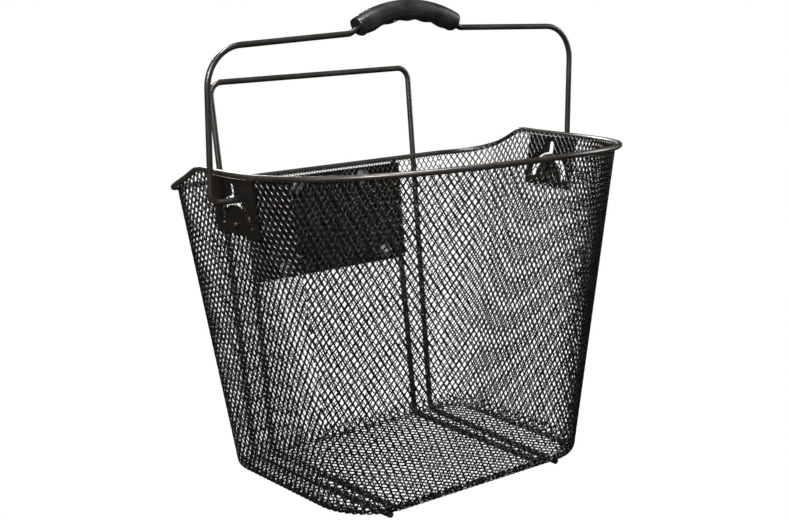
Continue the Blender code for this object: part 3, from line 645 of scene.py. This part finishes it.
def rounded_path(corners):
    points = []
    for i, (corner, radius) in enumerate(corners):
        corner = Vector(corner)
        if radius == 0:
            points.append(corner)
            continue
        back = (Vector(corners[i - 1][0]) - corner).normalized()
        ahead = (Vector(corners[i + 1][0]) - corner).normalized()
        half = back.angle(ahead) / 2
        middle = corner + (back + ahead).normalized() * radius / math.sin(half)
        start = corner + back * radius / math.tan(half) - middle
        end = corner + ahead * radius / math.tan(half) - middle
        sweep = start.angle(end)
        for k in range(BEND_STEPS + 1):
            share = k / BEND_STEPS
            turned_by = math.sin((1 - share) * sweep) * start + math.sin(share * sweep) * end
            points.append(middle + turned_by / math.sin(sweep))
    return points


def wire(name, points, radius, body, node, closed=False):
    """A wire as a mesh: a bevelled curve, converted, its cut ends slightly rounded."""
    curve = bpy.data.curves.new(name, "CURVE")
    curve.dimensions = "3D"
    curve.bevel_depth = radius
    curve.bevel_resolution = ROUNDNESS
    curve.use_fill_caps = not closed
    spline = curve.splines.new("POLY")
    points = [Vector(point) for point in points]
    radii = [1.0] * len(points)
    if not closed:
        for end, inner in ((0, 1), (-1, -2)):
            toward = (points[inner] - points[end]).normalized()
            extra = [points[end] + toward * radius * inset for _, inset in ROUNDED_END]
            shrunk = [share for share, _ in ROUNDED_END]
            if end == 0:
                points, radii = extra + points[1:], shrunk + radii[1:]
            else:
                points, radii = points[:-1] + extra[::-1], radii[:-1] + shrunk[::-1]
    spline.points.add(len(points) - 1)
    for target, point, share in zip(spline.points, points, radii):
        target.co = (*point, 1)
        target.radius = share
    spline.use_cyclic_u = closed
    drawn = bpy.data.objects.new(name, curve)
    bpy.context.scene.collection.objects.link(drawn)
    bpy.context.view_layer.update()
    mesh = bpy.data.meshes.new_from_object(drawn.evaluated_get(bpy.context.evaluated_depsgraph_get()))
    bpy.data.objects.remove(drawn)
    work = bmesh.new()
    work.from_mesh(mesh)
    bmesh.ops.remove_doubles(work, verts=work.verts, dist=WIRE_WELD)
    for face in work.faces:
        face.smooth = len(face.verts) < 5
    work.to_mesh(mesh)
    work.free()
    thing = bpy.data.objects.new(name, mesh)
    return add_piece(thing, WIRE_COAT_WITH_PAINTED_SHEEN, body, "coated_wire", node)


RIM_THIN = 5  # every fifth station
rim_line = [(x, y + AXIS_Y, z) for (x, y), z in zip(RIM[::RIM_THIN], TOP_HEIGHT[::RIM_THIN])]
rim_line += [(-x, y, z) for x, y, z in rim_line[-2:0:-1]]
wire("rim", rim_line, RIM_WIRE_RADIUS, "basket", "rim_wire", closed=True)

# The hoop's and the stays' places follow the CAD model's sizes.
HOOP_HEIGHT = 0.0797
HOOP_HALF_WIDTH = 0.107
HOOP_FLOOR_HALF_WIDTH = 0.0996
HOOP_END_HALF_WIDTH = 0.0905
HOOP_BEND = 0.011
STAY_HALF_WIDTH = 0.0805
STAY_END_HALF_WIDTH = 0.0785
RUNNER_BEND = 0.008
RUNNER_SETBACK = 0.0085
STAY_SETBACK = 0.0165
FRAME_LEAN = math.radians(7.9)
HOOP_OFFSET = RIM_BACK + RIM_WIRE_RADIUS + FRAME_WIRE_RADIUS + TOUCH
RUNNER_Z = FRAME_WIRE_RADIUS


def frame_y(height):
    return AXIS_Y + HOOP_OFFSET + (height - RIM_BACK_HEIGHT) * math.tan(FRAME_LEAN)


def mirrored(half, middle=()):
    return half + list(middle) + [((-x, y, z), radius) for (x, y, z), radius in reversed(half)]


runner_end = AXIS_Y - FLOOR_FRONT + RUNNER_SETBACK
hoop_top = RIM_BACK_HEIGHT + HOOP_HEIGHT
hoop = [
    ((HOOP_END_HALF_WIDTH, runner_end, RUNNER_Z), 0),
    ((HOOP_FLOOR_HALF_WIDTH, frame_y(RUNNER_Z), RUNNER_Z), RUNNER_BEND),
    ((HOOP_HALF_WIDTH, frame_y(hoop_top), hoop_top), HOOP_BEND),
]
wire("hoop", rounded_path(mirrored(hoop)), FRAME_WIRE_RADIUS, "basket", "support_hoop")
stay_top = RIM_BACK_HEIGHT - RIM_WIRE_RADIUS - TOUCH
for side_name, side_sign in (("left", -1), ("right", 1)):
    stay = [
        ((side_sign * STAY_END_HALF_WIDTH, runner_end + STAY_SETBACK - RUNNER_SETBACK, RUNNER_Z), 0),
        ((side_sign * STAY_HALF_WIDTH, frame_y(RUNNER_Z), RUNNER_Z), RUNNER_BEND),
        ((side_sign * STAY_HALF_WIDTH, frame_y(stay_top), stay_top), 0),
    ]
    wire(f"{side_name}_back_stay", rounded_path(stay), FRAME_WIRE_RADIUS, "basket", f"{side_name}_stay")


# %% [markdown]
# ## The carry handle
# The handle's wire ends in a crank at each side. Its tip is the pivot, and the short run that passes
# through the half-round slot meets the slot's ends, so the handle can't fall all the way. The wire passes
# through a grip that is moulded in two halves, smooth above and scalloped for four fingers below.

# %% The handle's wire
HANDLE_LEG_HALF_WIDTH = 0.1885
HANDLE_SHOULDER_HEIGHT = 0.1325
HANDLE_SHOULDER_BEND = 0.030
HANDLE_BAR_SLOPE = 0.0045
CRANK_THROW = 0.0185
CRANK_BEND = 0.004
LEG_BEND = 0.008
CRANK_INSIDE = 0.006
PIVOT_STUB = 0.0022
PLATE = 0.002
SHEET_BELOW_RIM = 0.001
GRIP_HALF_LENGTH = 0.0498
GRIP_CROWN = 0.0120
GRIP_HALF_WIDTH = 0.0085
GRIP_UPPER = 0.0089
GRIP_LOWER = 0.0080
GRIP_RIDGE_PITCH = 0.0196
GRIP_GROOVE = 0.0012
GRIP_ARC_RADIUS = (GRIP_HALF_LENGTH**2 + GRIP_CROWN**2) / (2 * GRIP_CROWN)
GRIP_ARC_ANGLE = math.asin(GRIP_HALF_LENGTH / GRIP_ARC_RADIUS)
BAR_HEIGHT = HANDLE_AXIS_HEIGHT + HANDLE_SHOULDER_HEIGHT + HANDLE_BAR_SLOPE
GRIP_LIFT = 0.0036
GRIP_SQUARENESS = 0.8
BAR_BEND = 0.006
BAR_BEND_OUT = 0.008
ARCH_SHARE = 0.97
ARCH_POINTS = 33
GRIP_END_HEIGHT = BAR_HEIGHT + GRIP_LIFT


def grip_point(angle, across, radial):
    radius = GRIP_ARC_RADIUS + radial
    centre = GRIP_END_HEIGHT + GRIP_CROWN - GRIP_ARC_RADIUS
    return (radius * math.sin(angle), AXIS_Y + across, centre + radius * math.cos(angle))


wall_share = (HANDLE_AXIS_HEIGHT - LOW_HEIGHT) / (SIDE_HEIGHT - SHEET_BELOW_RIM - LOW_HEIGHT)
wall_x = FLOOR_HALF_WIDTH + wall_share * (RIM_HALF_WIDTH - SHEET_INSET - FLOOR_HALF_WIDTH)
plate_x = wall_x + SHEET / 2 + TOUCH + PLATE / 2
crank_x = plate_x - PLATE / 2 - CRANK_INSIDE
pivot_x = plate_x + PLATE / 2 + PIVOT_STUB
shoulder = HANDLE_AXIS_HEIGHT + HANDLE_SHOULDER_HEIGHT
half_bail = [
    ((pivot_x, AXIS_Y, HANDLE_AXIS_HEIGHT), 0),
    ((crank_x, AXIS_Y, HANDLE_AXIS_HEIGHT), CRANK_BEND),
    ((crank_x, AXIS_Y, HANDLE_AXIS_HEIGHT + CRANK_THROW), CRANK_BEND),
    ((HANDLE_LEG_HALF_WIDTH, AXIS_Y, HANDLE_AXIS_HEIGHT + CRANK_THROW), LEG_BEND),
    ((HANDLE_LEG_HALF_WIDTH, AXIS_Y, shoulder), HANDLE_SHOULDER_BEND),
    ((GRIP_HALF_LENGTH + BAR_BEND_OUT, AXIS_Y, BAR_HEIGHT), BAR_BEND),
]
arch_shares = np.linspace(ARCH_SHARE, -ARCH_SHARE, ARCH_POINTS)
arch = [(grip_point(GRIP_ARC_ANGLE * share, 0, 0), 0) for share in arch_shares]
wire("bail", rounded_path(mirrored(half_bail, arch)), HANDLE_WIRE_RADIUS, "handle", "handle_bail")


# %% The grip's two halves
GRIP_SECTIONS = 180
GRIP_TURNS = 28
CHANNEL_TURNS = 12
END_ROUND = 0.0016
END_STEPS = 8
SHARP_ANGLE = math.radians(40)


def grip_half(name, direction, depth, groove, node):
    """Half of the grip: a D section that shrinks into rounded ends, with a channel for the wire."""
    channel = HANDLE_WIRE_RADIUS + TOUCH
    joint = direction * TOUCH / 2
    half_run = GRIP_ARC_RADIUS * GRIP_ARC_ANGLE
    places = np.concatenate([
        -half_run + END_ROUND * (1 - np.cos(np.linspace(0, math.pi / 2, END_STEPS))),
        np.linspace(-half_run + END_ROUND, half_run - END_ROUND, GRIP_SECTIONS)[1:-1],
        half_run - END_ROUND * (1 - np.cos(np.linspace(math.pi / 2, 0, END_STEPS))),
    ])
    sections = []
    for along in places:
        into = max(0.0, (abs(along) - half_run + END_ROUND) / END_ROUND)
        shrink = END_ROUND * (1 - math.sqrt(max(0.0, 1 - into**2)))
        height = depth - shrink - groove * math.sin(math.pi * along / GRIP_RIDGE_PITCH) ** 2
        ring = []
        for i in range(GRIP_TURNS + 1):
            turn = math.pi * i / GRIP_TURNS
            flat = math.copysign(abs(math.sin(turn)) ** GRIP_SQUARENESS, math.sin(turn))
            across = (GRIP_HALF_WIDTH - shrink) * math.cos(turn)
            ring.append((across, joint + direction * max(height * flat, 0.0)))
        for i in range(CHANNEL_TURNS + 1):
            turn = math.pi * (1 - i / CHANNEL_TURNS)
            ring.append((channel * math.cos(turn), joint + direction * channel * math.sin(turn)))
        angle = along / GRIP_ARC_RADIUS
        sections.append([grip_point(angle, across, radial) for across, radial in ring])
    size = len(sections[0])
    faces = []
    for row in range(len(sections) - 1):
        for i in range(size):
            j = (i + 1) % size
            faces.append((row * size + i, row * size + j, (row + 1) * size + j, (row + 1) * size + i))
    faces.append(tuple(range(size)))
    faces.append(tuple(range((len(sections) - 1) * size, len(sections) * size)))
    thing = mesh_of(name, [point for section in sections for point in section], faces)
    work = bmesh.new()
    work.from_mesh(thing.data)
    bmesh.ops.recalc_face_normals(work, faces=work.faces)
    bmesh.ops.triangulate(work, faces=[face for face in work.faces if len(face.verts) > 4])
    work.to_mesh(thing.data)
    work.free()
    thing.data.set_sharp_from_angle(angle=SHARP_ANGLE)
    return add_piece(thing, GRIP_PLASTIC, "handle", "grip_plastic", node)


grip_half("grip_top", 1, GRIP_UPPER, 0.0, "grip_upper")
grip_half("grip_underside", -1, GRIP_LOWER, GRIP_GROOVE, "grip_lower")


# %% [markdown]
# ## Pressed plates and fasteners
# The handle plates and the bracket are stamped from 2 mm sheet, so their edges are broken by the die and
# the coat rounds them further. The CAD solids are right already, so they keep their shape and get a small
# bevel, which is what catches the light along an edge, and their own finish.

# %% Finishes and broken edges on the CAD pieces
EDGE_ANGLE = math.radians(35)
EDGE_SEGMENTS = 2
PLATE_EDGE = 0.00025
FASTENER_EDGE = 0.0002
WASHER_EDGE = 0.0001
SCREW_EDGE = 0.00008


def dress(node, material, edge):
    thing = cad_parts[node]
    if thing.material_slots:
        for place in thing.material_slots:
            place.material = material
    else:
        thing.data.materials.append(material)
    broken = thing.modifiers.new("broken_edge", "BEVEL")
    broken.width = edge
    broken.segments = EDGE_SEGMENTS
    broken.limit_method = "ANGLE"
    broken.angle_limit = EDGE_ANGLE
    broken.harden_normals = True
    return thing


PLATES = ("left_handle_plate", "right_handle_plate", "bracket_plate")
for node in PLATES:
    dress(node, COATED_PLATE, PLATE_EDGE)
CORNERS = [f"{row}_{side}" for row in ("upper", "lower") for side in ("left", "right")]
for corner_name in CORNERS:
    dress(f"bolt_{corner_name}", ZINC, FASTENER_EDGE)
    dress(f"washer_{corner_name}", ZINC, WASHER_EDGE)
    dress(f"nut_{corner_name}", ZINC, FASTENER_EDGE)
for side_name in ("left", "right"):
    dress(f"grip_screw_{side_name}", ZINC, SCREW_EDGE)
print("dressed CAD nodes:", len(PLATES) + 3 * len(CORNERS) + 2)


# %% [markdown]
# ## Studio
# The basket stands on a pale floor in a bright tent. Black steel shows only what it mirrors, so the lamps
# matter more than the coat: one soft lamp to the front left draws the long highlights on the wires and
# along the strands, and the rest of the room is kept dimmer than the backdrop that is seen.

# %% Camera
CAMERA_PLACE = (-0.7530, -0.8753, 0.4450)
CAMERA_YAW = 39.52
CAMERA_PITCH = 12.97
CAMERA_LENS = 66.02
SENSOR_WIDTH = 36.0
bpy.context.scene.view_settings.view_transform = "Standard"
camera_data = bpy.data.cameras.new("camera")
camera_data.sensor_width = SENSOR_WIDTH
camera_data.lens = CAMERA_LENS
camera = bpy.data.objects.new("camera", camera_data)
camera.location = CAMERA_PLACE
camera.rotation_euler = (math.radians(90 - CAMERA_PITCH), 0, math.radians(-CAMERA_YAW))
bpy.context.scene.collection.objects.link(camera)
bpy.context.scene.camera = camera


# %% Room, floor and lamps
def glow(name, shade, strength):
    material = bpy.data.materials.new(name)
    material.use_nodes = True
    tree = material.node_tree
    tree.nodes.clear()
    light = tree.nodes.new("ShaderNodeEmission")
    light.inputs["Color"].default_value = (shade, shade, shade, 1)
    light.inputs["Strength"].default_value = strength
    out = tree.nodes.new("ShaderNodeOutputMaterial")
    tree.links.new(light.outputs[0], out.inputs["Surface"])
    return material


WARM = (1.0, 0.88, 0.78)
LAMP_TINT = (1.0, 0.96, 0.93)
ROOM_STRENGTH = 0.06
world = bpy.data.worlds.new("room")
bpy.context.scene.world = world
world.use_nodes = True
world.node_tree.nodes["Background"].inputs["Color"].default_value = (*WARM, 1)
world.node_tree.nodes["Background"].inputs["Strength"].default_value = ROOM_STRENGTH


def card(name, size, place, facing, material):
    """A flat white card of the studio, seen by the camera and not mirrored in the steel."""
    half = size / 2
    corners = [(-half, -half, 0), (half, -half, 0), (half, half, 0), (-half, half, 0)]
    thing = mesh_of(name, corners, [(0, 1, 2, 3)], smooth=False)
    thing.data.materials.append(material)
    thing.location = place
    thing.rotation_euler = Vector(facing).to_track_quat("Z", "Y").to_euler()
    bpy.context.scene.collection.objects.link(thing)
    thing.visible_glossy = False
    thing.visible_diffuse = False
    thing.visible_shadow = False
    return thing


TENT = 18.0
FLOOR_CARD = 40.0
FLOOR_DROP = 0.0005
HORIZON_DROP = 1.0  # the tent's walls start this far below the floor
WHITE = glow("white_tent", 1.0, 1.0)
card("floor", FLOOR_CARD, (0, 0, -FLOOR_DROP), (0, 0, 1), WHITE)
for index, (x, y) in enumerate(((0, 1), (1, 0), (0, -1), (-1, 0))):
    card(f"tent_{index}", 2 * TENT, (x * TENT, y * TENT, TENT - HORIZON_DROP), (-x, -y, 0), WHITE)
card("tent_top", 2 * TENT, (0, 0, 2 * TENT - HORIZON_DROP), (0, 0, -1), WHITE)


def lamp(name, place, target, size, watts, height=None):
    data = bpy.data.lights.new(name, "AREA")
    data.shape = "RECTANGLE"
    data.size = size
    data.size_y = height or size
    data.energy = watts
    data.color = LAMP_TINT
    thing = bpy.data.objects.new(name, data)
    thing.location = place
    thing.rotation_euler = (Vector(target) - Vector(place)).to_track_quat("-Z", "Y").to_euler()
    bpy.context.scene.collection.objects.link(thing)
    thing.visible_camera = False
    return thing


MIDDLE = (0, 0, 0.18)
lamp("soft_front_left", (-1.6, -0.9, 1.1), MIDDLE, 0.35, 56, 0.6)
lamp("soft_top", (-0.3, -0.2, 1.9), MIDDLE, 0.6, 48)
lamp("soft_right", (1.7, -0.4, 0.7), MIDDLE, 0.5, 12, 1.0)
lamp("soft_back", (0.5, 1.8, 0.9), MIDDLE, 0.6, 26)
